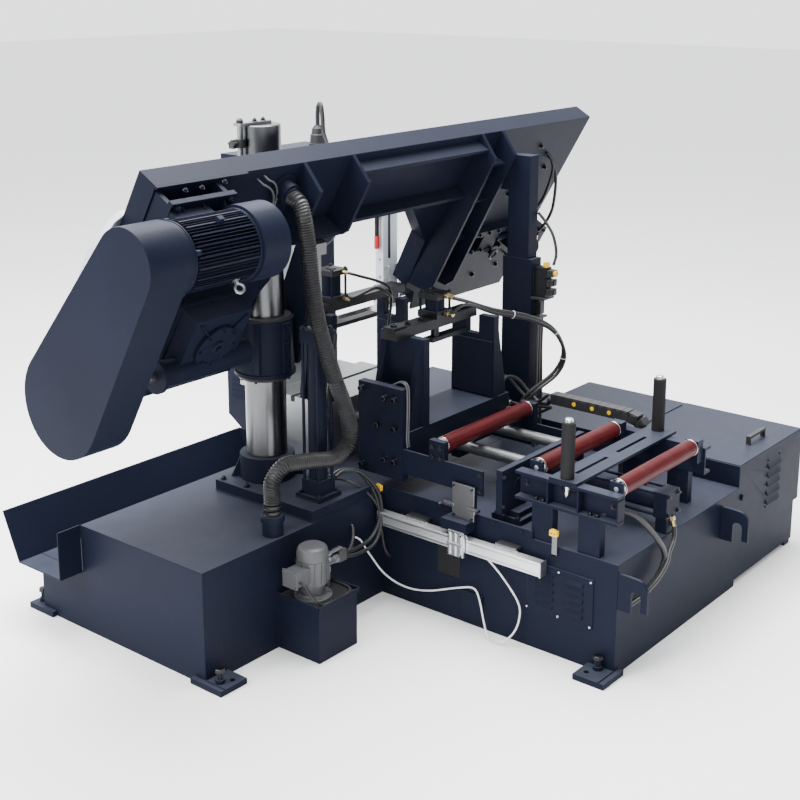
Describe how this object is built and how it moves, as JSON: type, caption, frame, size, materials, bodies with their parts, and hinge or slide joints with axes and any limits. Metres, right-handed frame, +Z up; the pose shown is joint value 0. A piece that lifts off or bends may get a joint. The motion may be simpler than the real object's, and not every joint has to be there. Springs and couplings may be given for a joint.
{
  "type": "column band saw",
  "caption": "Semi-automatic column band saw: tilted bow on a chromed lift column, hydraulic vises, roller feed bed, coolant cabinet and chip tray.",
  "frame": {"origin": "centre of the footprint on the floor", "axes": "+X along the bow from the drive wheel to the idler wheel, +Y in the feed direction, +Z up"},
  "size_m": [3.196, 2.58, 2.127],
  "materials": {
    "frame_paint": "satin navy machine paint",
    "pad_steel": "zinc plated plate",
    "pump_paint": "grey enamel",
    "column_chrome": "hard chromed and ground",
    "fitting_steel": "blackened steel",
    "bed_steel": "milled steel",
    "roller_paint": "red sleeve",
    "upright_rubber": "matt black sleeve",
    "scale_alloy": "natural anodised",
    "chain_plastic": "black nylon",
    "cabinet_paint": "satin paint",
    "knob_plastic": "black thermoset",
    "stop_red": "red button",
    "door_paint": "light grey enamel",
    "guide_paint": "light grey enamel",
    "band_steel": "hardened strip",
    "wheel_iron": "machined rim",
    "hose_rubber": "ribbed black hose",
    "lever_red": "red grip"
  },
  "bodies": {
    "base": {"cross_base": "frame_paint", "front_base": "frame_paint", "pump_tank": "frame_paint", "lifting_hooks": "frame_paint", "chip_tray": "frame_paint", "coolant_cabinet": "frame_paint", "foot_pads": "pad_steel", "coolant_pump": "pump_paint", "column_base": "frame_paint", "main_column": "column_chrome", "limit_stop": "fitting_steel", "guide_post": "frame_paint", "lift_cylinder": "frame_paint", "roller_frame": "frame_paint", "feed_bed": "bed_steel", "feed_cylinder": "frame_paint", "work_bed": "bed_steel", "main_vise": "frame_paint", "outfeed_table": "bed_steel", "control_cabinet": "cabinet_paint", "scale_bar": "scale_alloy", "drag_chain": "chain_plastic"},
    "bow": {"bow_frame": "frame_paint", "bow_ribs": "frame_paint", "column_sleeve": "frame_paint", "post_slide": "frame_paint", "lift_rod": "column_chrome", "gearbox": "frame_paint", "motor": "frame_paint", "belt_guard": "frame_paint", "band": "band_steel", "fixed_guide": "guide_paint", "tension_unit": "fitting_steel", "suction_hose": "hose_rubber"},
    "carriage": {"feed_carriage": "frame_paint", "feed_vise": "frame_paint", "pressure_hose": "hose_rubber"},
    "cabinet_lid": {"cabinet_lid": "frame_paint"},
    "pump_lever": {"pump_lever": "lever_red"},
    "cabinet_door": {"cabinet_door": "cabinet_paint"},
    "stop_button": {"stop_button": "stop_red"},
    "star_knob": {"star_knob": "knob_plastic"},
    "drive_wheel": {"drive_wheel": "wheel_iron"},
    "idler_block": {"idler_block": "fitting_steel"},
    "idler_wheel": {"idler_wheel": "wheel_iron"},
    "motor_pulley": {"motor_pulley": "fitting_steel"},
    "worm_pulley": {"worm_pulley": "fitting_steel"},
    "left_door": {"left_door": "door_paint"},
    "right_door": {"right_door": "door_paint"},
    "guide_arm": {"guide_arm": "guide_paint"},
    "lock_lever": {"lock_lever": "lever_red"},
    "carriage_roller": {"carriage_roller": "roller_paint"},
    "feed_jaw": {"feed_jaw": "frame_paint"},
    "feed_clamp": {"feed_clamp": "column_chrome"},
    "main_jaw": {"main_jaw": "frame_paint"},
    "main_clamp": {"main_clamp": "column_chrome"},
    "rear_roller": {"rear_roller": "roller_paint"},
    "front_roller": {"front_roller": "roller_paint"},
    "left_upright_roller": {"left_upright_roller": "upright_rubber"},
    "right_upright_roller": {"right_upright_roller": "upright_rubber"}
  },
  "joints": [
    {"name": "bow_lift", "type": "slide", "parent": "base", "child": "bow", "axis": [0, 0, 1], "range_m": [-0.29, 0.135], "deforming": ["suction_hose"]},
    {"name": "lid_hinge", "type": "hinge", "parent": "base", "child": "cabinet_lid", "pos_m": [1.262, -0.542, 0.579], "axis": [-1, 0, 0], "range_deg": [0, 95]},
    {"name": "pump_lever_turn", "type": "hinge", "parent": "base", "child": "pump_lever", "pos_m": [-0.598, -0.06, 0.376], "axis": [0, 0, 1], "range_deg": [0, 90]},
    {"name": "cabinet_door_hinge", "type": "hinge", "parent": "base", "child": "cabinet_door", "pos_m": [0.72, 1.272, 1.185], "axis": [0, 0, -1], "range_deg": [0, 110]},
    {"name": "stop_press", "type": "slide", "parent": "cabinet_door", "child": "stop_button", "axis": [0, -1, 0], "range_m": [0, 0.006], "stiffness_N_per_m": 500},
    {"name": "star_knob_turn", "type": "hinge", "parent": "base", "child": "star_knob", "pos_m": [-0.526, 0.491, 2.022], "axis": [1, 0, 0], "continuous": true},
    {"name": "drive_wheel_spin", "type": "hinge", "parent": "bow", "child": "drive_wheel", "pos_m": [-0.908, 0.4583, 1.41544], "axis": [0, 0.866, 0.5], "continuous": true},
    {"name": "band_tension", "type": "slide", "parent": "bow", "child": "idler_block", "axis": [1, 0, 0], "range_m": [-0.025, 0]},
    {"name": "idler_wheel_spin", "type": "hinge", "parent": "idler_block", "child": "idler_wheel", "pos_m": [1.132, 0.4583, 1.41544], "axis": [0, 0.866, 0.5], "continuous": true},
    {"name": "worm_spin", "type": "hinge", "parent": "bow", "child": "worm_pulley", "pos_m": [-1.518, 0.31935, 1.20012], "axis": [1, 0, 0], "continuous": true},
    {"name": "motor_spin", "type": "hinge", "parent": "bow", "child": "motor_pulley", "pos_m": [-1.518, -0.07535, 1.75975], "axis": [1, 0, 0], "continuous": true},
    {"name": "left_door_hinge", "type": "hinge", "parent": "bow", "child": "left_door", "pos_m": [-1.404, 0.45409, 1.51693], "axis": [0, -0.5, 0.866], "range_deg": [0, 100]},
    {"name": "right_door_hinge", "type": "hinge", "parent": "bow", "child": "right_door", "pos_m": [1.581, 0.45409, 1.51693], "axis": [0, 0.5, -0.866], "range_deg": [0, 100]},
    {"name": "guide_arm_slide", "type": "slide", "parent": "bow", "child": "guide_arm", "axis": [1, 0, 0], "range_m": [-0.5, 0]},
    {"name": "lock_lever_turn", "type": "hinge", "parent": "guide_arm", "child": "lock_lever", "pos_m": [0.574, 0.654, 1.56], "axis": [1, 0, 0], "range_deg": [0, 80]},
    {"name": "carriage_feed", "type": "slide", "parent": "base", "child": "carriage", "axis": [0, 1, 0], "range_m": [-0.27, 0.24]},
    {"name": "carriage_roller_spin", "type": "hinge", "parent": "carriage", "child": "carriage_roller", "pos_m": [0.222, -0.27, 0.761], "axis": [1, 0, 0], "continuous": true},
    {"name": "feed_jaw_close", "type": "slide", "parent": "carriage", "child": "feed_jaw", "axis": [-1, 0, 0], "range_m": [0, 0.45]},
    {"name": "feed_clamp_press", "type": "slide", "parent": "carriage", "child": "feed_clamp", "axis": [0, 0, 1], "range_m": [-0.06, 0.01]},
    {"name": "main_jaw_close", "type": "slide", "parent": "base", "child": "main_jaw", "axis": [-1, 0, 0], "range_m": [0, 0.45]},
    {"name": "main_clamp_press", "type": "slide", "parent": "base", "child": "main_clamp", "axis": [0, 0, 1], "range_m": [-0.1, 0.01]},
    {"name": "rear_roller_spin", "type": "hinge", "parent": "base", "child": "rear_roller", "pos_m": [0.252, -1.102, 0.761], "axis": [1, 0, 0], "continuous": true},
    {"name": "front_roller_spin", "type": "hinge", "parent": "base", "child": "front_roller", "pos_m": [0.252, -0.73, 0.761], "axis": [1, 0, 0], "continuous": true},
    {"name": "left_upright_spin", "type": "hinge", "parent": "base", "child": "left_upright_roller", "pos_m": [-0.083, -0.89, 0.88], "axis": [0, 0, 1], "continuous": true},
    {"name": "right_upright_spin", "type": "hinge", "parent": "base", "child": "right_upright_roller", "pos_m": [0.657, -0.885, 0.88], "axis": [0, 0, 1], "continuous": true}
  ],
  "couplings": [
    {"joint": "idler_wheel_spin", "follows": "drive_wheel_spin", "ratio": 1},
    {"joint": "worm_spin", "follows": "drive_wheel_spin", "ratio": 20},
    {"joint": "motor_spin", "follows": "drive_wheel_spin", "ratio": 40}
  ]
}
